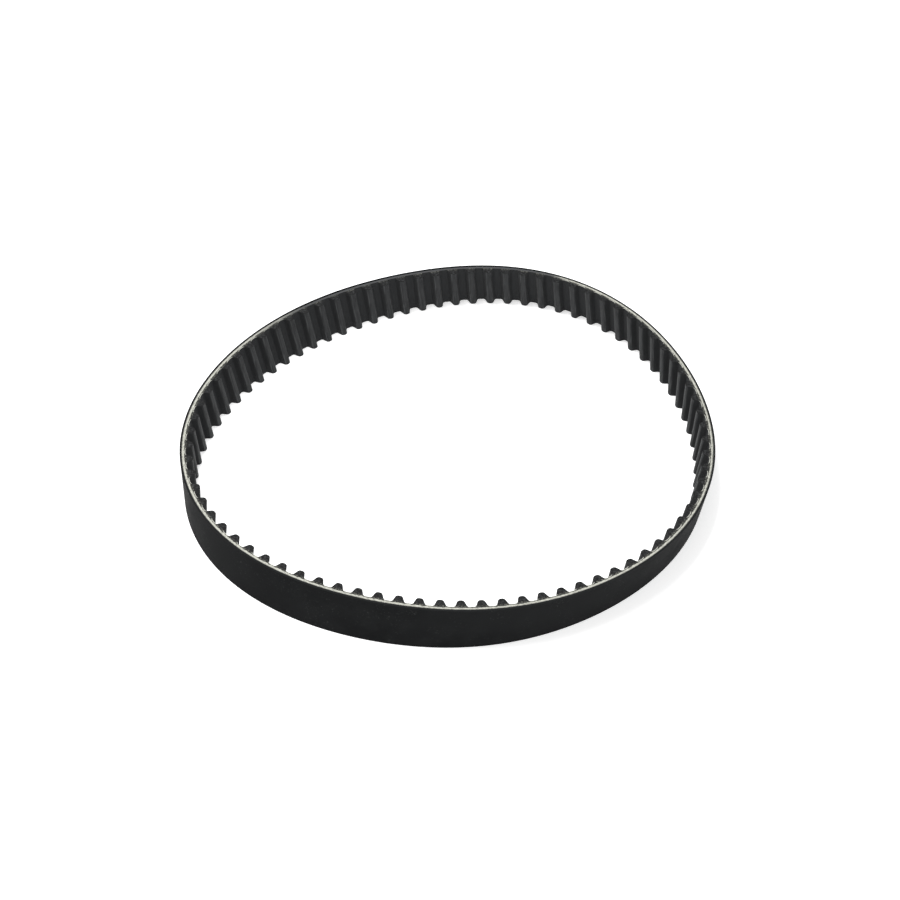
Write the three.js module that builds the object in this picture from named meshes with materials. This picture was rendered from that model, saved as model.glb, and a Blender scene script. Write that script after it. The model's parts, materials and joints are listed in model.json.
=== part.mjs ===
// Timing belt: an endless toothed drive belt lying on its edge as an open, slightly egg-shaped loop.
// Three bonded layers run all the way round: the backing, the band of tension cords on the pitch
// line, and the toothed rubber on the inside. The belt is flexible, so it is divided at the valleys
// between teeth, where it folds, into links that turn about upright lines on the pitch line.
// Units are millimetres, +Z runs across the belt's width, and the loop is centred on the origin.
import * as THREE from "three";

// Driving dimensions
const PITCH = 8;
const TEETH = 80;
const WIDTH = 20;
const LINKS = 20;
const BACK = 1.35; // pitch line to the outer face
const CORD_BAND = 1.1; // radial depth of the cord band, centred on the pitch line
const LAND = 0.8; // pitch line to the floor of a valley
const TOOTH_HEIGHT = 3.0; // above the valley floor
const TOOTH_TIP = 2.4; // width across the tip, corner to corner
const TOOTH_ROOT = 4.8; // width at the valley floor, corner to corner
const TIP_ROUNDING = 0.85; // how far the rounding of a corner reaches along each of its sides
const ROOT_ROUNDING = 0.7;

// The loop at rest: a circle with a few lobes, each a share of the radius, peaking at an angle
const LOBES = [
  { count: 2, size: 0.078, peak: 30.2 }, // oval
  { count: 3, size: 0.0271, peak: -42 }, // egg
  { count: 5, size: 0.0067, peak: -8.9 },
];

// The relaxed walls lean out from upright by a few degrees: a saddle and a slight skew
const LEANS = [
  { count: 2, degrees: 8.3, peak: -26.1 },
  { count: 1, degrees: 2.8, peak: 167.5 },
];

// On the +Y side the teeth also slope, their upper ends set back along the loop from their lower ends
const SKEWS = [
  { count: 0, degrees: 3.4, peak: 0 },
  { count: 1, degrees: 4.5, peak: 115 },
  { count: 2, degrees: 1.1, peak: 115 },
];

// Where the folds are: the first one's distance along the pitch line from the +X side
const FIRST_FOLD = 0.2 * PITCH;

// The slit at a fold: it widens away from the fold line, to clear the fold at both ends of its travel
const SLIT = 0.2;
const FOLD_ANGLE = 12; // largest turn of one fold from rest, degrees
const SLIT_MARGIN = 1.2;

const ARC_DIVISIONS = 2400;
const LINK_SPANS = 10; // straight spans along a link's smooth faces
const ROUNDING_SPANS = 3;

const LENGTH = PITCH * TEETH;
const LINK_LENGTH = LENGTH / LINKS;
const LINK_TEETH = TEETH / LINKS;

const radians = THREE.MathUtils.degToRad;
const SLIT_SLOPE = SLIT_MARGIN * Math.tan(radians(FOLD_ANGLE));

function wave({ count, peak }, angle) {
  return Math.cos(count * (angle - radians(peak)));
}

class PitchLine extends THREE.Curve {
  constructor(radius) {
    super();
    this.radius = radius;
    this.arcLengthDivisions = ARC_DIVISIONS;
  }

  getPoint(t) {
    const angle = 2 * Math.PI * t;
    const lobes = LOBES.reduce((sum, lobe) => sum + lobe.size * wave(lobe, angle), 1);
    return new THREE.Vector3(Math.cos(angle), Math.sin(angle), 0).multiplyScalar(this.radius * lobes);
  }
}

const pitchLine = new PitchLine(LENGTH / new PitchLine(1).getLength());

// The angle round the loop at a distance along the pitch line
function angleAt(along) {
  const u = THREE.MathUtils.euclideanModulo(along / LENGTH, 1);
  return 2 * Math.PI * pitchLine.getUtoTmapping(u);
}

// How far a sloping wall stands at a height from where it stands at mid height
function slopeAt(slopes, angle, z) {
  const degrees = slopes.reduce((sum, slope) => sum + slope.degrees * wave(slope, angle), 0);
  return Math.tan(radians(degrees)) * (z - WIDTH / 2);
}

// A point of the belt from its place in the flat belt: along the pitch line, in from it, and across
function bend(along, depth, z) {
  const there = along + slopeAt(SKEWS, angleAt(along), z);
  const u = THREE.MathUtils.euclideanModulo(there / LENGTH, 1);
  const point = pitchLine.getPointAt(u);
  const tangent = pitchLine.getTangentAt(u);
  const outward = slopeAt(LEANS, angleAt(there), z) - depth;
  return point.addScaledVector(new THREE.Vector3(tangent.y, -tangent.x, 0), outward).setZ(z);
}

// Half the slit's width at a depth and height beside a fold
function halfSlit(fold, depth, z) {
  const lean = slopeAt(LEANS, angleAt(fold), z);
  return (SLIT + SLIT_SLOPE * Math.abs(lean - depth)) / 2;
}

// A smooth face of one link at one depth, as evenly spaced flat points from its first end to its last
function smoothFace(depth) {
  const points = [];
  for (let i = 0; i <= LINK_SPANS; i++) {
    points.push({ along: (LINK_LENGTH * i) / LINK_SPANS, depth });
  }
  return points;
}

// The toothed face of one link: valley floors and rounded trapezoid teeth
function toothedFace() {
  const path = new THREE.Path().moveTo(0, LAND);
  const tip = LAND + TOOTH_HEIGHT;
  const flank = new THREE.Vector2((TOOTH_ROOT - TOOTH_TIP) / 2, TOOTH_HEIGHT).normalize();
  for (let i = 0; i < LINK_TEETH; i++) {
    const middle = PITCH * (i + 0.5);
    const corner = (side, half, depth, fromX, fromY, toX, toY) => {
      const x = middle + side * half;
      path.lineTo(x + fromX, depth + fromY);
      path.quadraticCurveTo(x, depth, x + toX, depth + toY);
    };
    const up = flank.clone().multiplyScalar(ROOT_ROUNDING);
    const down = flank.clone().multiplyScalar(TIP_ROUNDING);
    corner(-1, TOOTH_ROOT / 2, LAND, -ROOT_ROUNDING, 0, up.x, up.y);
    corner(-1, TOOTH_TIP / 2, tip, -down.x, -down.y, TIP_ROUNDING, 0);
    corner(1, TOOTH_TIP / 2, tip, -TIP_ROUNDING, 0, down.x, -down.y);
    corner(1, TOOTH_ROOT / 2, LAND, -up.x, up.y, ROOT_ROUNDING, 0);
  }
  path.lineTo(LINK_LENGTH, LAND);
  return path.getPoints(ROUNDING_SPANS).map(({ x, y }) => ({ along: x, depth: y }));
}

// A closed solid across the belt's width from a flat outline, bent to its place in the loop.
// Outline points at either end of the link draw back from the fold by half the slit.
function linkSolid(outline, start) {
  const place = ({ along, depth }, z) => {
    if (along === 0) return bend(start + halfSlit(start, depth, z), depth, z);
    if (along === LINK_LENGTH) return bend(start + along - halfSlit(start + along, depth, z), depth, z);
    return bend(start + along, depth, z);
  };
  const count = outline.length;
  const lower = outline.map((point) => place(point, 0));
  const upper = outline.map((point) => place(point, WIDTH));
  const index = [];
  for (const [a, b, c] of THREE.ShapeUtils.triangulateShape(lower, [])) {
    index.push(c, b, a, count + a, count + b, count + c);
  }
  for (let a = 0; a < count; a++) {
    const b = (a + 1) % count;
    // One diagonal rule for both sides of a bonded face, so that two layers share every triangle
    if (outline[a].along < outline[b].along) index.push(a, b, count + b, a, count + b, count + a);
    else index.push(a, b, count + a, b, count + b, count + a);
  }
  const geometry = new THREE.BufferGeometry();
  geometry.setFromPoints([...lower, ...upper]);
  geometry.setIndex(index);
  geometry.computeVertexNormals();
  return geometry;
}

// The three layers as outlines that run counterclockwise seen from +Z: out along, back inside
const outerFace = smoothFace(-BACK);
const cordOuterFace = smoothFace(-CORD_BAND / 2);
const cordInnerFace = smoothFace(CORD_BAND / 2);
const layers = [
  {
    name: "backing",
    outline: [...cordOuterFace].reverse().concat(outerFace),
    finish: { color: 0x242626, roughness: 0.82, metalness: 0 },
  },
  {
    name: "cord_band",
    outline: [...cordInnerFace].reverse().concat(cordOuterFace),
    finish: { color: 0xbebeb4, roughness: 0.9, metalness: 0 },
  },
  {
    name: "toothed_rubber",
    outline: toothedFace().reverse().concat(cordInnerFace),
    finish: { color: 0x343537, roughness: 0.75, metalness: 0 },
  },
];

function makeLink(number) {
  const link = new THREE.Group();
  const start = FIRST_FOLD + LINK_LENGTH * number;
  for (const { name, outline, finish } of layers) {
    const mesh = new THREE.Mesh(linkSolid(outline, start), new THREE.MeshStandardMaterial(finish));
    mesh.name = `${name}_${String(number + 1).padStart(2, "0")}`;
    link.add(mesh);
  }
  return link;
}

const belt = new THREE.Group();
for (let number = 0; number < LINKS; number++) belt.add(makeLink(number));

// Centre the loop's box on the origin, with its lower edge at z = 0
const middle = new THREE.Box3().setFromObject(belt).getCenter(new THREE.Vector3());
belt.position.set(-middle.x, -middle.y, 0);

export default belt;
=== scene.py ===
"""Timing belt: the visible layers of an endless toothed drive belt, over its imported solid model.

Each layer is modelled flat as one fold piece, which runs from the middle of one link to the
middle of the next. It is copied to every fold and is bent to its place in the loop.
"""

import bisect
import json
import math
from contextlib import contextmanager

import bmesh
import bpy
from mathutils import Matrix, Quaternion, Vector, noise

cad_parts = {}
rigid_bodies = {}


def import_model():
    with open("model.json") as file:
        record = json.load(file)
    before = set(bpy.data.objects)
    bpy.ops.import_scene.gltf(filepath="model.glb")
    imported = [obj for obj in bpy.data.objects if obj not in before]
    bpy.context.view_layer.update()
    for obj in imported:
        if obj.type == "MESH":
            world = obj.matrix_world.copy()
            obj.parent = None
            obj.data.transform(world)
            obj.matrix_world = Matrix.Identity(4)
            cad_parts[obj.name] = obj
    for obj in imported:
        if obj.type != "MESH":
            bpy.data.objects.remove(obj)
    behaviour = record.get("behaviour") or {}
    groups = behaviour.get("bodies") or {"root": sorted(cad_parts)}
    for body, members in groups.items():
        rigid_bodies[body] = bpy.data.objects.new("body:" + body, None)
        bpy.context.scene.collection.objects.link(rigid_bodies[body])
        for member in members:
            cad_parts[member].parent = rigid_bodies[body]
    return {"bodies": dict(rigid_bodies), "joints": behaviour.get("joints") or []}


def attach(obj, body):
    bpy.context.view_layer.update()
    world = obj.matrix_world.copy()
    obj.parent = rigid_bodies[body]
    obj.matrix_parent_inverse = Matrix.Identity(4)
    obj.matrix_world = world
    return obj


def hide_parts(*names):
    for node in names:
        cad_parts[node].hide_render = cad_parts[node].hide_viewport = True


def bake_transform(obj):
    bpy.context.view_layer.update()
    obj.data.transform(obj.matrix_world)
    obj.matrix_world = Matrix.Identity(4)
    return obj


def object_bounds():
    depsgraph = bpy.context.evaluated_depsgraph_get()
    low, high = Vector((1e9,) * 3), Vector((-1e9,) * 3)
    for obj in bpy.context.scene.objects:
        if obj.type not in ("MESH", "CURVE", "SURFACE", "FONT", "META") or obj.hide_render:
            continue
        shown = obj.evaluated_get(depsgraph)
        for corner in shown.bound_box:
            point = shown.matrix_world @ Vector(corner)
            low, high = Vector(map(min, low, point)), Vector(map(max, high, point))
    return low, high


bl_info = {
    "name": "Timing Belt",
    "version": (1, 0, 0),
    "blender": (4, 5, 0),
    "location": "View3D > Sidebar > Belt",
    "description": "Models the layers of a toothed drive belt and sets its studio stage",
    "category": "Add Mesh",
}

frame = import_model()
CAD_BOX = [list(corner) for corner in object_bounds()]

MM = 0.001

# The loop, as in the solid model
PITCH = 8 * MM
TEETH = 80
WIDTH = CAD_BOX[1][2] - CAD_BOX[0][2]
LINKS = len(frame["bodies"])
LENGTH = PITCH * TEETH
LINK_LENGTH = LENGTH / LINKS
LINK_TEETH = TEETH // LINKS
FIRST_FOLD = 0.2 * PITCH
LOBES = [(2, 0.078, 30.2), (3, 0.0271, -42), (5, 0.0067, -8.9)]  # count, share of radius, peak
LEANS = [(2, 8.3, -26.1), (1, 2.8, 167.5)]  # count, degrees outward, peak
SKEWS = [(0, 3.4, 0), (1, 4.5, 115), (2, 1.1, 115)]  # count, degrees along, peak
BLEND_REACH = 15 * MM  # how far to each side of a fold the start and end points are taken

# The outer rim's stretch where no cord was cut open, as distances along the pitch line
CORD_BURIED = (126 * MM, 262 * MM)

SMOOTH_ANGLE = math.radians(35)
MICRON = 0.001 * MM
FRAY_PER_MM = 1.7  # how many tufts to the millimetre the cut cords have

# The stage, round the origin under the loop
FLOOR_SIZE = 8
FLOOR_GAP = 0.05 * MM
KEY_PLACE, KEY_SIZE = (-0.3, 0.1, 1.0), 0.35
FILL_PLACE, FILL_SIZE = (0.2, -0.9, 0.8), 1.0
CAMERA_TARGET = Vector((-1.5, 28.68, 0)) * MM
SENSOR_WIDTH = 36
CAMERA_SHIFT = -0.05
NEAREST_SEEN = 0.01


def lobed(terms, angle):
    """The sum of cosine lobes (count, size, peak in degrees) at an angle round the loop."""
    return sum(size * math.cos(count * (angle - math.radians(peak))) for count, size, peak in terms)


class PitchLine:
    """The loop's pitch line, by distance along it."""

    STEPS = 3600

    def __init__(self):
        points = [self.outline(2 * math.pi * step / self.STEPS) for step in range(self.STEPS + 1)]
        self.reached = [0.0]
        for start, end in zip(points, points[1:]):
            self.reached.append(self.reached[-1] + (end - start).length)
        self.radius = LENGTH / self.reached[-1]
        self.reached = [length * self.radius for length in self.reached]
        self.centre = Vector((0, 0, 0))
        fold = next(joint for joint in frame["joints"] if joint["name"] == "flex")
        here = self.place(fold_along(int(fold["child"][-2:])), 0, WIDTH / 2)
        self.centre = Vector((*fold["pos_m"][:2], WIDTH / 2)) - here

    @staticmethod
    def outline(angle):
        """The loop of mean radius 1."""
        return Vector((math.cos(angle), math.sin(angle), 0)) * (1 + lobed(LOBES, angle))

    def angle(self, along):
        """The angle round the loop at a distance along the pitch line."""
        along %= LENGTH
        step = min(bisect.bisect_right(self.reached, along), self.STEPS) - 1
        share = (along - self.reached[step]) / (self.reached[step + 1] - self.reached[step])
        return 2 * math.pi * (step + share) / self.STEPS

    def place(self, along, depth, across):
        """A point of the bent belt from its place in the flat belt."""
        skew = math.tan(math.radians(lobed(SKEWS, self.angle(along))))
        angle = self.angle(along + skew * (across - WIDTH / 2))
        step = math.pi / self.STEPS
        tangent = (self.outline(angle + step) - self.outline(angle - step)).normalized()
        outward = Vector((tangent.y, -tangent.x, 0))
        lean = math.tan(math.radians(lobed(LEANS, angle))) * (across - WIDTH / 2)
        point = self.outline(angle) * self.radius + outward * (lean - depth)
        return point + self.centre + Vector((0, 0, across))


def fold_along(number):
    """The distance along the pitch line of the fold where link number starts."""
    return FIRST_FOLD + LINK_LENGTH * (number - 1)


pitch_line = PitchLine()


# ---------------------------------------------------------------------------- modelling by hand


@contextmanager
def editing():
    """Edit mode on the active object, with nothing selected."""
    bpy.ops.object.mode_set(mode="EDIT")
    bpy.ops.mesh.select_all(action="DESELECT")
    yield
    bpy.ops.object.mode_set(mode="OBJECT")


def pick(kind, test):
    """Selects the verts, edges or faces of the edited mesh that pass a test, and nothing else."""
    modes = {"verts": "VERT", "edges": "EDGE", "faces": "FACE"}
    bpy.ops.mesh.select_mode(type=modes[kind])
    bpy.ops.mesh.select_all(action="DESELECT")
    mesh = bmesh.from_edit_mesh(bpy.context.object.data)
    for element in getattr(mesh, kind):
        if test(element):
            element.select_set(True)
    mesh.select_flush_mode()
    bmesh.update_edit_mesh(bpy.context.object.data)


def near(value, target):
    """Whether two lengths are the same, to a micron."""
    return abs(value - target) < MICRON


def edge_runs(edge, axis):
    """Whether an edge runs along an axis: 0 along the belt, 1 through it, 2 across it."""
    a, b = edge.verts
    return all(near(a.co[i], b.co[i]) for i in range(3) if i != axis)


def start_flat(name, primitive, low, high):
    """A named primitive of unit size, stretched to fill the box between two flat corners."""
    bpy.ops.object.select_all(action="DESELECT")
    middle = (Vector(low) + Vector(high)) / 2
    size = Vector(high) - Vector(low)
    primitive(size=1, location=middle)
    bpy.ops.transform.resize(value=tuple(max(side, MM) for side in size))
    bpy.ops.object.transform_apply(location=True, rotation=False, scale=True)
    bpy.context.object.name = name
    return bpy.context.object


def apply_modifier(piece, kind, **settings):
    """Adds one modifier to the active piece and applies it."""
    modifier = piece.modifiers.new(kind.title(), kind)
    for setting, value in settings.items():
        setattr(modifier, setting, value)
    bpy.ops.object.modifier_apply(modifier=modifier.name)


def repeat_teeth(piece, merge):
    """One tooth's worth of a piece, repeated along the fold piece."""
    apply_modifier(
        piece,
        "ARRAY",
        count=LINK_TEETH,
        use_relative_offset=False,
        use_constant_offset=True,
        constant_offset_displace=(PITCH, 0, 0),
        use_merge_vertices=merge,
        merge_threshold=MICRON,
    )


def flat_slab(name, near_depth, far_depth, spans):
    """A slab one fold piece long between two depths, cut across into even spans."""
    half = LINK_LENGTH / 2
    corners = (-half, near_depth, 0), (half, far_depth, WIDTH)
    slab = start_flat(name, bpy.ops.mesh.primitive_cube_add, *corners)
    with editing():
        pick("edges", lambda edge: edge_runs(edge, 0))
        bpy.ops.mesh.subdivide(number_cuts=spans - 1)
    return slab


def flat_backing(sizes):
    """The smooth back, its two outer long edges just eased."""
    slab = flat_slab("flat_backing", -sizes.back, -sizes.cord_band / 2, 32)
    with editing():
        pick("edges", lambda edge: edge_runs(edge, 0) and near(edge.verts[0].co.y, -sizes.back))
        bpy.ops.mesh.bevel(offset=sizes.edge_ease, segments=2, profile=0.5)
    return slab


def flat_cords(sizes):
    """The cord band, cut finely where its edge shows, for the frayed cut."""
    half = sizes.cord_band / 2
    slab = flat_slab("flat_cords", -half, half, 128)
    with editing():
        pick("edges", lambda edge: edge_runs(edge, 1))
        bpy.ops.mesh.subdivide(number_cuts=3)
    return slab


def tooth_path(sizes):
    """The corners of one tooth's outline, from valley middle to valley middle."""
    start = -LINK_LENGTH / 2
    middle = start + PITCH / 2
    tip = sizes.land + sizes.tooth_height
    return [
        Vector((start, sizes.land, 0)),
        Vector((middle - sizes.tooth_root / 2, sizes.land, 0)),
        Vector((middle - sizes.tooth_tip / 2, tip, 0)),
        Vector((middle + sizes.tooth_tip / 2, tip, 0)),
        Vector((middle + sizes.tooth_root / 2, sizes.land, 0)),
        Vector((start + PITCH, sizes.land, 0)),
    ]


def flat_facing(sizes):
    """The woven facing: a tooth's outline drawn as a line, repeated, pulled across, thickened."""
    path = tooth_path(sizes)
    reach = Vector((MM, MM, 0))
    corners = path[0] - reach, path[0] + reach
    cloth = start_flat("flat_facing", bpy.ops.mesh.primitive_plane_add, *corners)
    tip = sizes.land + sizes.tooth_height
    with editing():
        bpy.ops.mesh.select_all(action="SELECT")
        bpy.ops.mesh.merge(type="CENTER")
        for here, there in zip(path, path[1:]):
            bpy.ops.mesh.extrude_region_move(TRANSFORM_OT_translate={"value": there - here})
        pick("verts", lambda vert: near(vert.co.y, tip))
        bpy.ops.mesh.bevel(offset=sizes.tip_rounding, segments=5, affect="VERTICES")
        pick("verts", lambda vert: near(vert.co.y, sizes.land) and len(vert.link_edges) == 2)
        bpy.ops.mesh.bevel(offset=sizes.root_rounding, segments=4, affect="VERTICES")
        pick("edges", lambda edge: edge_runs(edge, 0))
        bpy.ops.mesh.subdivide(number_cuts=2)
    repeat_teeth(cloth, True)
    with editing():
        bpy.ops.mesh.select_all(action="SELECT")
        bpy.ops.mesh.extrude_region_move(TRANSFORM_OT_translate={"value": (0, 0, WIDTH)})
        bpy.ops.mesh.select_all(action="SELECT")
        bpy.ops.mesh.normals_make_consistent(inside=False)
    valley = min(cloth.data.polygons, key=lambda face: face.center.y)
    if valley.normal.y < 0:
        with editing():
            bpy.ops.mesh.select_all(action="SELECT")
            bpy.ops.mesh.flip_normals()
    apply_modifier(cloth, "SOLIDIFY", thickness=sizes.facing, offset=-1, use_even_offset=True)
    return cloth


def flat_cores(sizes):
    """The moulded rubber inside each tooth, which fills the facing down to the cords."""
    path = tooth_path(sizes)
    middle = (path[0].x + path[5].x) / 2
    flank = (sizes.tooth_root - sizes.tooth_tip) / 2 / sizes.tooth_height
    inset = sizes.facing * math.hypot(1, flank) - flank * sizes.facing
    foot, head = sizes.tooth_root / 2 - inset, sizes.tooth_tip / 2 - inset
    low, high = sizes.cord_band / 2, path[2].y - sizes.facing
    corners = (middle - foot, low, 0), (middle + foot, high, 0)
    core = start_flat("flat_cores", bpy.ops.mesh.primitive_plane_add, *corners)
    with editing():
        pick("verts", lambda vert: near(vert.co.y, high))
        bpy.ops.transform.resize(value=(head / foot, 1, 1), center_override=(middle, high, 0))
        bpy.ops.mesh.bevel(offset=sizes.tip_rounding * 0.7, segments=4, affect="VERTICES")
        bpy.ops.mesh.select_all(action="SELECT")
        bpy.ops.mesh.extrude_region_move(TRANSFORM_OT_translate={"value": (0, 0, WIDTH)})
        bpy.ops.mesh.select_all(action="SELECT")
        bpy.ops.mesh.normals_make_consistent(inside=False)
    repeat_teeth(core, False)
    return core


# ---------------------------------------------------------------------------- round the loop


def run_along_profile(x, depth):
    """The distance walked along the toothed surface, in millimetres, from the piece's start."""
    sizes = bpy.context.scene.belt_sizes
    from_start = x + LINK_LENGTH / 2
    tooth = min(max(math.floor(from_start / PITCH), 0), LINK_TEETH - 1)
    within = from_start - tooth * PITCH
    climb = max(depth - sizes.land, 0)
    if within > PITCH / 2:
        climb = 2 * sizes.tooth_height - climb
    return (tooth * (PITCH + 2 * sizes.tooth_height) + within + climb) / MM


def fray(point, depth, across):
    """A cut edge's point moved a little up or down, where the layers beside it don't hold it."""
    sizes = bpy.context.scene.belt_sizes
    rim = 0 if near(across, 0) else 1 if near(across, WIDTH) else None
    if rim is None or near(abs(depth), sizes.cord_band / 2):
        return point
    height = noise.noise(point / MM * FRAY_PER_MM) * sizes.fray - sizes.fray / 3
    return point + Vector((0, 0, height if rim else -min(height, 0)))


def bent_copy(flat, name, along, frayed):
    """A copy of a flat fold piece, bent round the loop. Its flat place is kept for its finish."""
    mesh = flat.data.copy()
    places, runs = [], []
    for vert in mesh.vertices:
        x, depth, across = vert.co
        places += (along + x) / MM, depth / MM, across / MM
        runs.append(run_along_profile(x, depth))
        vert.co = pitch_line.place(along + x, depth, across)
        if frayed:
            vert.co = fray(vert.co, depth, across)
    mesh.attributes.new("place", "FLOAT_VECTOR", "POINT").data.foreach_set("vector", places)
    mesh.attributes.new("run", "FLOAT", "POINT").data.foreach_set("value", runs)
    piece = bpy.data.objects.new(name, mesh)
    bpy.context.scene.collection.objects.link(piece)
    return piece


def fit_round_loop(flat, kind, finish, node, frayed=False):
    """Copies a flat fold piece to all folds, each copy with its finish and its node; copies at
    unjointed folds go on the body before the fold.
    """
    bpy.ops.object.select_all(action="DESELECT")
    flat.select_set(True)
    bpy.context.view_layer.objects.active = flat
    bpy.ops.object.shade_smooth_by_angle(angle=SMOOTH_ANGLE)
    flat.data.materials.clear()
    flat.data.materials.append(finish)
    joined = {frozenset((joint["parent"], joint["child"])) for joint in frame["joints"]}
    for number in range(1, LINKS + 1):
        along = fold_along(number)
        piece = bent_copy(flat, f"{kind}_{number:02d}", along, frayed)
        before, after = f"link_{(number - 2) % LINKS + 1:02d}", f"link_{number:02d}"
        if frozenset((before, after)) in joined:
            start = pitch_line.place(along - BLEND_REACH, 0, WIDTH / 2)
            end = pitch_line.place(along + BLEND_REACH, 0, WIDTH / 2)
            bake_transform(piece)
        else:
            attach(piece, before)
        if node:
            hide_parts(f"{node}_{number:02d}")
    bpy.data.objects.remove(flat)


# ---------------------------------------------------------------------------- finishes


class Signal:
    """A shader value. Arithmetic on it adds Math nodes to its tree."""

    def __init__(self, owner, socket):
        self.owner = owner
        self.socket = socket

    def math(self, operation, *values):
        """A Math node on this value and others."""
        return self.owner.add("ShaderNodeMath", {"operation": operation}, 0, self, *values)

    def __add__(self, other):
        return self.math("ADD", other)

    def __sub__(self, other):
        return self.math("SUBTRACT", other)

    def __rsub__(self, other):
        return self.owner.add("ShaderNodeMath", {"operation": "SUBTRACT"}, 0, other, self)

    def __mul__(self, other):
        return self.math("MULTIPLY", other)

    __radd__ = __add__
    __rmul__ = __mul__

    def ramp(self, low, high):
        """0 at low, 1 at high, smooth between. Low may be above high."""
        ends = min(low, high), max(low, high)
        settings = {"interpolation_type": "SMOOTHSTEP"}
        rising = self.owner.add("ShaderNodeMapRange", settings, 0, self, *ends)
        return rising if low < high else 1 - rising


class Finish:
    """A material whose node tree is written as expressions."""

    def __init__(self, name, roughness):
        self.material = bpy.data.materials.new(name)
        self.material.use_nodes = True
        self.tree = self.material.node_tree
        self.shader = next(node for node in self.tree.nodes if node.type == "BSDF_PRINCIPLED")
        self.shader.inputs["Roughness"].default_value = roughness
        place = self.add("ShaderNodeAttribute", {"attribute_name": "place"}, "Vector")
        self.along, self.depth, self.across = (
            self.add("ShaderNodeSeparateXYZ", {}, axis, place) for axis in "XYZ"
        )
        self.run = self.add("ShaderNodeAttribute", {"attribute_name": "run"}, "Fac")
        self.point = self.add("ShaderNodeTexCoord", {}, "Object")

    def add(self, kind, settings, output, *values, **named):
        """A node with its settings, then its inputs, in order or by name. Gives one output."""
        node = self.tree.nodes.new(kind)
        for setting, value in settings.items():
            setattr(node, setting, value)
        sockets = list(zip(node.inputs, values))
        sockets += [(node.inputs[name.replace("_", " ")], value) for name, value in named.items()]
        for socket, value in sockets:
            if isinstance(value, Signal):
                self.tree.links.new(value.socket, socket)
            else:
                socket.default_value = value
        return Signal(self, node.outputs[output])

    def noise(self, per_mm, detail, roughness, flat=None):
        """Noise with so many features to the millimetre, in space or on flat coordinates in mm."""
        point, scale = self.point, per_mm / MM
        if flat:
            point, scale = self.add("ShaderNodeCombineXYZ", {}, 0, *flat), per_mm
        values = {"Vector": point, "Scale": scale, "Detail": detail, "Roughness": roughness}
        return self.add("ShaderNodeTexNoise", {}, 0, **values)

    def buried(self):
        """1 on the outer rim's stretch where the cords lie under the rubber."""
        start, end = (distance / MM for distance in CORD_BURIED)
        drifted = self.along + self.noise(0.12, 2, 0.5) * 24 - 12
        upper = self.across.ramp(WIDTH / MM - 1, WIDTH / MM - 0.5)
        return drifted.ramp(start - 8, start + 8) * drifted.ramp(end + 26, end - 26) * upper

    def mix(self, factor, first, second):
        """A colour between two colours."""
        node = self.tree.nodes.new("ShaderNodeMix")
        node.data_type = "RGBA"
        for name, value in (("Factor_Float", factor), ("A_Color", first), ("B_Color", second)):
            socket = next(s for s in node.inputs if s.identifier == name)
            if isinstance(value, Signal):
                self.tree.links.new(value.socket, socket)
            else:
                socket.default_value = value if name == "Factor_Float" else (*value[:3], 1)
        result = next(s for s in node.outputs if s.identifier == "Result_Color")
        return Signal(self, result)

    def made(self, colour, roughness, height, relief):
        """Links what varies over the surface to the shader, and gives the material."""
        inputs = self.shader.inputs
        self.tree.links.new(colour.socket, inputs["Base Color"])
        if roughness is not None:
            self.tree.links.new(roughness.socket, inputs["Roughness"])
        bump = self.add("ShaderNodeBump", {}, 0, Distance=relief, Height=height)
        self.tree.links.new(bump.socket, inputs["Normal"])
        return self.material


def back_finish(looks):
    """Ground black rubber: mottled, with a few pale specks of dust and faint grinding lines."""
    rubber = Finish("Ground black rubber", 0.7)
    rubber.shader.inputs["Specular IOR Level"].default_value = 0.03
    mottle = rubber.noise(0.11, 3, 0.6).ramp(0.35, 0.7)
    cloud = rubber.noise(0.03, 2, 0.5).ramp(0.4, 0.65)
    specks = rubber.noise(1.3, 2, 0.6).ramp(0.6, 0.7)
    specks = specks * rubber.noise(0.09, 2, 0.5).ramp(0.4, 0.65)
    rim = WIDTH / MM
    cut_edge = rubber.across.ramp(rim - 0.12, rim - 0.02) * (1 - rubber.buried())
    colour = rubber.mix(mottle * 0.8, looks.back, looks.back_worn)
    colour = rubber.mix(cloud * 0.45, colour, looks.back_worn)
    colour = rubber.mix(specks * 0.2, colour, looks.dust)
    smear = (rubber.depth + rubber.noise(0.9, 3, 0.7) * 0.5).ramp(-0.5, -0.25) * cut_edge
    colour = rubber.mix(cut_edge * 0.12, colour, looks.cut_rubber)
    colour = rubber.mix(smear * 0.25, colour, looks.cord)
    lines = rubber.noise(1.0, 2, 0.6, (rubber.along * 0.25, rubber.depth, rubber.across * 4))
    grain = rubber.noise(3.0, 2, 0.6)
    height = lines * 0.5 + grain * 0.5
    roughness = 0.62 + mottle * 0.12 + specks * 0.1
    return rubber.made(colour, roughness, height, looks.back_relief)


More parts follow.
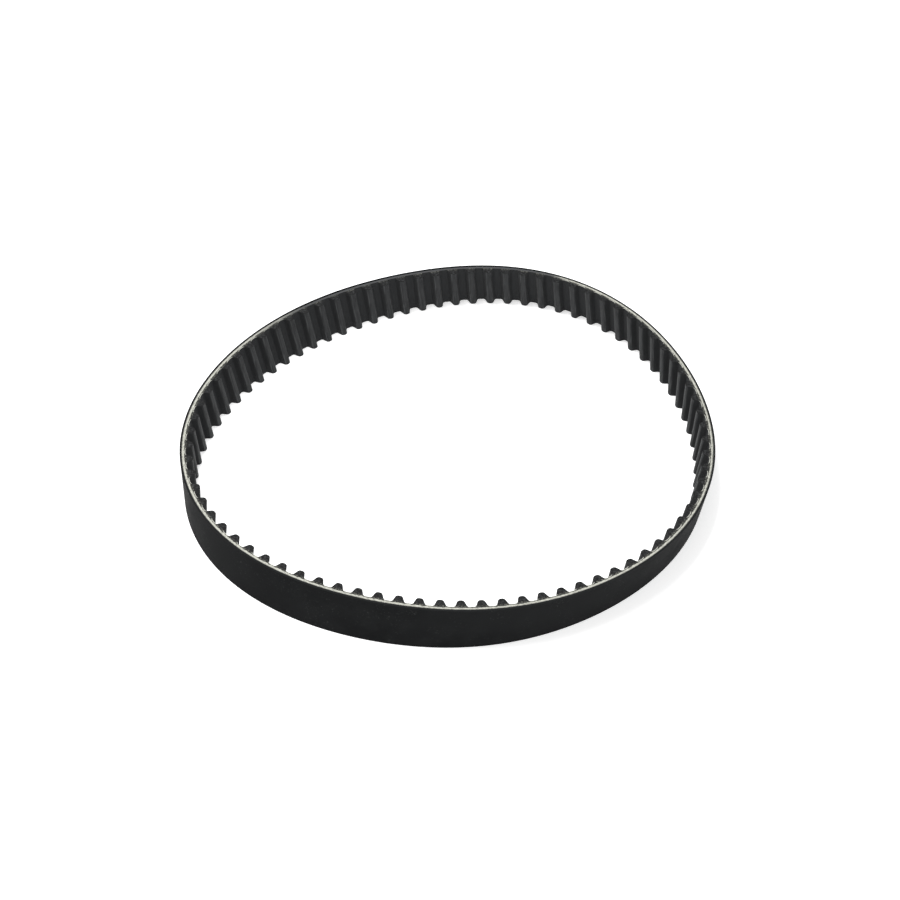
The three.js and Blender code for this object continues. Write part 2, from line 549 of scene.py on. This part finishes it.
def cord_finish(looks):
    """Cut cords: pale twisted fibres, ragged beside the rubber, and buried for a stretch."""
    cord = Finish("Cut tension cords", 0.85)
    fibres = cord.noise(1.0, 3, 0.7, (cord.along * 0.8, cord.depth * 7, cord.across))
    twist = cord.along * 1.6 + cord.depth * 2.5
    ply = cord.noise(1.0, 2, 0.5, (twist, cord.depth * 1.5, cord.across))
    wander = cord.noise(0.8, 3, 0.65) - 0.5
    half = bpy.context.scene.belt_sizes.cord_band / 2 / MM
    off_centre = (cord.depth + 0.1).math("ABSOLUTE")
    thinning = cord.noise(0.03, 2, 0.5).ramp(0.4, 0.7) * 0.14
    ragged = (half - off_centre + wander * 1.1 - thinning).ramp(0.02, 0.18)
    dashes = cord.noise(1.0, 1, 0.5, (cord.along * 1.1 + cord.depth * 1.5, 0.0, 0.0))
    buried = cord.buried()
    pits = cord.noise(1.9, 2, 0.6).ramp(0.62, 0.74)
    colour = cord.mix(fibres.ramp(0.3, 0.7), looks.cord_shade, looks.cord)
    colour = cord.mix(ply.ramp(0.62, 0.75) * 0.5, colour, looks.cord_shade)
    colour = cord.mix(pits * 0.5, colour, looks.core)
    colour = cord.mix(dashes.ramp(0.52, 0.66) * 0.4, colour, looks.cut_rubber)
    colour = cord.mix((1 - ragged) * 0.9, colour, looks.core)
    colour = cord.mix(buried, colour, looks.cut_rubber)
    return cord.made(colour, None, fibres * 0.7 + ply * 0.3, looks.cord_relief)


def facing_finish(looks):
    """Woven nylon over the teeth: fine crossed threads, worn paler on the tooth corners with a
    painted highlight there, and painted shade on the tooth flanks.
    """
    cloth = Finish("Woven tooth facing", 0.8)
    cloth.shader.inputs["Specular IOR Level"].default_value = 0.15
    cloth.shader.inputs["Sheen Weight"].default_value = 0.04
    cloth.shader.inputs["Sheen Roughness"].default_value = 0.5
    threads = 2 * math.pi / looks.thread_spacing
    warp = (cloth.run * threads).math("SINE")
    weft = (cloth.across * threads).math("SINE")
    weave = (warp * weft) * 0.5 + 0.5
    sizes = bpy.context.scene.belt_sizes
    land = sizes.land / MM
    tip = land + sizes.tooth_height / MM
    crown = cloth.depth.ramp(tip - 0.9, tip - 0.1)
    # Painted highlight and wear: a thin band along the rounded tip corners.
    corner = cloth.depth.ramp(tip - 0.75, tip - 0.4) * cloth.depth.ramp(tip - 0.04, tip - 0.2)
    # Painted shade: the tooth flanks, between the tip and the valley floor.
    flank = cloth.depth.ramp(land + 0.1, land + 0.8) * cloth.depth.ramp(tip - 0.1, tip - 0.8)
    valley = cloth.depth.ramp(land + 0.4, land + 0.05)
    streaks = cloth.noise(1.0, 3, 0.6, (cloth.run * 1.1, cloth.depth, cloth.across * 0.12))
    mottle = cloth.noise(0.35, 3, 0.6).ramp(0.3, 0.75)
    rim = cloth.across.ramp(WIDTH / MM - 0.05, WIDTH / MM - 0.01)
    colour = cloth.mix(weave * 0.5, looks.facing_shade, looks.facing)
    colour = cloth.mix(mottle * 0.35, colour, looks.facing_shade)
    colour = cloth.mix(crown * streaks.ramp(0.35, 0.6) * 0.2, colour, looks.facing_worn)
    # Painted shade: the tooth flanks darkened.
    colour = cloth.mix(flank * 0.65, colour, looks.facing_shade)
    # The valley floors are painted a little paler.
    colour = cloth.mix(valley * 0.14, colour, looks.facing_worn)
    # Painted highlight and worn threads: a paler line along the rounded tip corners.
    colour = cloth.mix(corner * streaks.ramp(0.4, 0.6) * 0.6, colour, looks.facing_worn)
    colour = cloth.mix(rim * 0.95, colour, looks.back)
    fuzz = rim * (1 - cloth.buried()) * cloth.depth.ramp(land + 0.5, land)
    fuzz = fuzz * cloth.noise(1.4, 3, 0.7).ramp(0.25, 0.5)
    colour = cloth.mix(fuzz * 0.75, colour, looks.cord)
    height = weave * 0.6 + streaks * 0.4
    roughness = 0.8 - crown * 0.14
    return cloth.made(colour, roughness, height, looks.weave_relief)


def core_finish(looks):
    """Cut tooth rubber: grey and slightly torn, with paler fibre crumbs."""
    core = Finish("Cut tooth rubber", 0.85)
    core.shader.inputs["Specular IOR Level"].default_value = 0.15
    torn = core.noise(1.2, 4, 0.65)
    crumbs = core.noise(2.6, 2, 0.6).ramp(0.62, 0.72)
    colour = core.mix(torn.ramp(0.4, 0.75), looks.core, looks.cut_rubber)
    colour = core.mix(crumbs * 0.35, colour, looks.dust)
    low = core.depth.ramp(1.5, 0.7) * core.noise(1.6, 3, 0.7).ramp(0.48, 0.62)
    colour = core.mix(low * 0.6, colour, looks.cord_shade)
    return core.made(colour, None, torn, looks.cut_relief)


# ---------------------------------------------------------------------------- settings


def length_setting(name, description, default):
    """A length that a user may change."""
    return bpy.props.FloatProperty(
        name=name,
        description=description,
        default=default,
        min=0,
        unit="LENGTH",
        subtype="DISTANCE",
    )


def colour_setting(name, description, default):
    """A colour that a user may change."""
    return bpy.props.FloatVectorProperty(
        name=name,
        description=description,
        default=default,
        size=3,
        min=0,
        max=1,
        subtype="COLOR",
    )


class BeltSizes(bpy.types.PropertyGroup):
    """The belt's section."""

    back: length_setting("Back", "Pitch line to the outer face", 1.35 * MM)
    cord_band: length_setting("Cord band", "Depth of the band of cords", 1.1 * MM)
    land: length_setting("Land", "Pitch line to the valley floor", 0.8 * MM)
    tooth_height: length_setting("Tooth height", "Tooth tip above the valley floor", 3.0 * MM)
    tooth_tip: length_setting("Tooth tip", "Width across a tooth's tip corners", 2.4 * MM)
    tooth_root: length_setting("Tooth root", "Width across a tooth's root corners", 4.8 * MM)
    tip_rounding: length_setting("Tip rounding", "Reach of a tip corner's rounding", 0.85 * MM)
    root_rounding: length_setting("Root rounding", "Reach of a root corner's rounding", 0.7 * MM)
    facing: length_setting("Facing", "Thickness of the woven facing", 0.25 * MM)
    edge_ease: length_setting("Edge ease", "Bevel along the back's outer edges", 0.12 * MM)
    fray: length_setting("Fray", "Roughness of the cut cords", 0.12 * MM)


class BeltLooks(bpy.types.PropertyGroup):
    """The belt's colours and textures."""

    back: colour_setting("Back", "Ground rubber", (0.0066, 0.007, 0.0074))
    back_worn: colour_setting("Worn back", "Rubber where it is rubbed", (0.0118, 0.0124, 0.0128))
    dust: colour_setting("Dust", "Specks on the rubber", (0.1, 0.105, 0.1))
    cord: colour_setting("Cord", "Cut cord", (0.68, 0.68, 0.61))
    cord_shade: colour_setting("Cord shade", "Between the cord's fibres", (0.26, 0.26, 0.22))
    facing: colour_setting("Facing", "Woven threads", (0.0222, 0.0243, 0.0255))
    # Between the threads, and also the painted shade on the tooth flanks.
    facing_shade: colour_setting("Facing shade", "Between the threads", (0.0113, 0.0121, 0.0129))
    # Worn threads, and also the painted highlight along the tooth tip corners.
    facing_worn: colour_setting("Worn facing", "Threads rubbed on the teeth", (0.06, 0.0625, 0.064))
    core: colour_setting("Tooth rubber", "Rubber inside the teeth", (0.0085, 0.0085, 0.0085))
    cut_rubber: colour_setting("Cut rubber", "Rubber at the cut edges", (0.05, 0.052, 0.054))
    thread_spacing: bpy.props.FloatProperty(
        name="Thread spacing", description="Threads of the weave, in millimetres", default=0.35
    )
    back_relief: length_setting("Back relief", "Height of the back's grain", 0.03 * MM)
    cord_relief: length_setting("Cord relief", "Height of the cords' fibres", 0.15 * MM)
    weave_relief: length_setting("Weave relief", "Height of the weave", 0.05 * MM)
    cut_relief: length_setting("Cut relief", "Height of the torn rubber", 0.06 * MM)


class BeltStage(bpy.types.PropertyGroup):
    """The floor, the lights and the camera."""

    floor: colour_setting("Floor", "Pale floor", (0.93, 0.93, 0.93))
    floor_glow: bpy.props.FloatProperty(
        name="Floor glow", description="Light from under the translucent floor", default=0.45
    )
    surround: bpy.props.FloatProperty(
        name="Surround", description="Light from all round", default=0.62
    )
    key_power: bpy.props.FloatProperty(
        name="Key light", description="Soft light from the upper left", default=9.0, unit="POWER"
    )
    fill_power: bpy.props.FloatProperty(
        name="Fill light", description="Soft light from above the front", default=2.6, unit="POWER"
    )
    distance: length_setting("Camera distance", "From the point looked at", 0.8168)
    elevation: bpy.props.FloatProperty(
        name="Elevation", description="Above the floor", default=math.radians(45.5), subtype="ANGLE"
    )
    roll: bpy.props.FloatProperty(
        name="Roll", description="Camera's turn", default=math.radians(5.18), subtype="ANGLE"
    )
    lens: bpy.props.FloatProperty(
        name="Lens", description="Focal length, in millimetres", default=76.5
    )


# ---------------------------------------------------------------------------- operators


class MakeBacking(bpy.types.Operator):
    """Models the smooth black back of the belt."""

    bl_idname = "belt.make_backing"
    bl_label = "Make Backing"

    def execute(self, context):
        scene = context.scene
        flat = flat_backing(scene.belt_sizes)
        finish = back_finish(scene.belt_looks)
        fit_round_loop(flat, "backing_skin", finish, "backing")
        return {"FINISHED"}


class MakeCords(bpy.types.Operator):
    """Models the band of tension cords between the back and the teeth."""

    bl_idname = "belt.make_cords"
    bl_label = "Make Tension Cords"

    def execute(self, context):
        scene = context.scene
        flat = flat_cords(scene.belt_sizes)
        finish = cord_finish(scene.belt_looks)
        fit_round_loop(flat, "tension_cords", finish, "cord_band", frayed=True)
        return {"FINISHED"}


class MakeFacing(bpy.types.Operator):
    """Models the woven facing over the teeth and valleys."""

    bl_idname = "belt.make_facing"
    bl_label = "Make Woven Facing"

    def execute(self, context):
        scene = context.scene
        flat = flat_facing(scene.belt_sizes)
        finish = facing_finish(scene.belt_looks)
        fit_round_loop(flat, "woven_facing", finish, "toothed_rubber")
        return {"FINISHED"}


class MakeTeeth(bpy.types.Operator):
    """Models the moulded rubber inside the teeth."""

    bl_idname = "belt.make_teeth"
    bl_label = "Make Tooth Cores"

    def execute(self, context):
        scene = context.scene
        flat = flat_cores(scene.belt_sizes)
        finish = core_finish(scene.belt_looks)
        fit_round_loop(flat, "tooth_cores", finish, None)
        return {"FINISHED"}


def area_light(name, size, power, place):
    """A soft square light at a place, aimed at the origin."""
    bpy.ops.object.light_add(type="AREA", location=place)
    light = bpy.context.object
    light.name = name
    light.data.size = size
    light.data.energy = power
    light.rotation_euler = (-Vector(place)).to_track_quat("-Z", "Y").to_euler()


class SetStage(bpy.types.Operator):
    """Sets the pale floor, the soft lights and the camera."""

    bl_idname = "belt.set_stage"
    bl_label = "Set Stage"

    def execute(self, context):
        settings = context.scene.belt_stage
        bpy.ops.object.select_all(action="DESELECT")
        under = (0, 0, CAD_BOX[0][2] - FLOOR_GAP)
        bpy.ops.mesh.primitive_plane_add(size=FLOOR_SIZE, location=under)
        floor = context.object
        floor.name = "floor"
        paper = bpy.data.materials.new("Pale floor")
        paper.use_nodes = True
        shader = next(node for node in paper.node_tree.nodes if node.type == "BSDF_PRINCIPLED")
        shader.inputs["Base Color"].default_value = (*settings.floor, 1)
        shader.inputs["Roughness"].default_value = 0.9
        shader.inputs["Specular IOR Level"].default_value = 0.1
        shader.inputs["Emission Color"].default_value = (1, 1, 1, 1)
        shader.inputs["Emission Strength"].default_value = settings.floor_glow
        floor.data.materials.append(paper)

        world = bpy.data.worlds.new("Surround")
        world.use_nodes = True
        background = world.node_tree.nodes["Background"]
        background.inputs["Color"].default_value = (1, 1, 1, 1)
        background.inputs["Strength"].default_value = settings.surround
        context.scene.world = world
        area_light("key_light", KEY_SIZE, settings.key_power, KEY_PLACE)
        area_light("fill_light", FILL_SIZE, settings.fill_power, FILL_PLACE)

        rise = settings.elevation
        back = Vector((0, -math.cos(rise), math.sin(rise)))
        bpy.ops.object.camera_add(location=CAMERA_TARGET + back * settings.distance)
        camera = context.object
        camera.rotation_mode = "QUATERNION"
        aim = (-back).to_track_quat("-Z", "Y")
        camera.rotation_quaternion = aim @ Quaternion((0, 0, 1), settings.roll)
        camera.data.lens = settings.lens
        camera.data.sensor_width = SENSOR_WIDTH
        camera.data.shift_y = CAMERA_SHIFT
        camera.data.clip_start = NEAREST_SEEN
        context.scene.camera = camera
        context.scene.view_settings.view_transform = "Standard"
        return {"FINISHED"}


class BELT_PT_sidebar(bpy.types.Panel):
    """Lists the belt's parts, sizes and looks."""

    bl_label = "Timing Belt"
    bl_idname = "BELT_PT_sidebar"
    bl_space_type = "VIEW_3D"
    bl_region_type = "UI"
    bl_category = "Belt"

    def draw(self, context):
        layout = self.layout
        for operator in OPERATORS:
            layout.operator(operator.bl_idname)
        scene = context.scene
        for group in (scene.belt_sizes, scene.belt_looks, scene.belt_stage):
            box = layout.box()
            for setting in group.__annotations__:
                box.prop(group, setting)


OPERATORS = (SetStage, MakeBacking, MakeCords, MakeTeeth, MakeFacing)
CLASSES = (BeltSizes, BeltLooks, BeltStage, *OPERATORS, BELT_PT_sidebar)


def register():
    """Registers the settings, the operators and the panel."""
    for cls in CLASSES:
        bpy.utils.register_class(cls)
    bpy.types.Scene.belt_sizes = bpy.props.PointerProperty(type=BeltSizes)
    bpy.types.Scene.belt_looks = bpy.props.PointerProperty(type=BeltLooks)
    bpy.types.Scene.belt_stage = bpy.props.PointerProperty(type=BeltStage)


def unregister():
    """Takes away all that register added."""
    del bpy.types.Scene.belt_stage, bpy.types.Scene.belt_looks, bpy.types.Scene.belt_sizes
    for cls in reversed(CLASSES):
        bpy.utils.unregister_class(cls)


def main():
    """Makes the stage and every layer of the belt."""
    register()
    bpy.ops.belt.set_stage()
    bpy.ops.belt.make_backing()
    bpy.ops.belt.make_cords()
    bpy.ops.belt.make_teeth()
    bpy.ops.belt.make_facing()


if __name__ == "__main__":
    main()
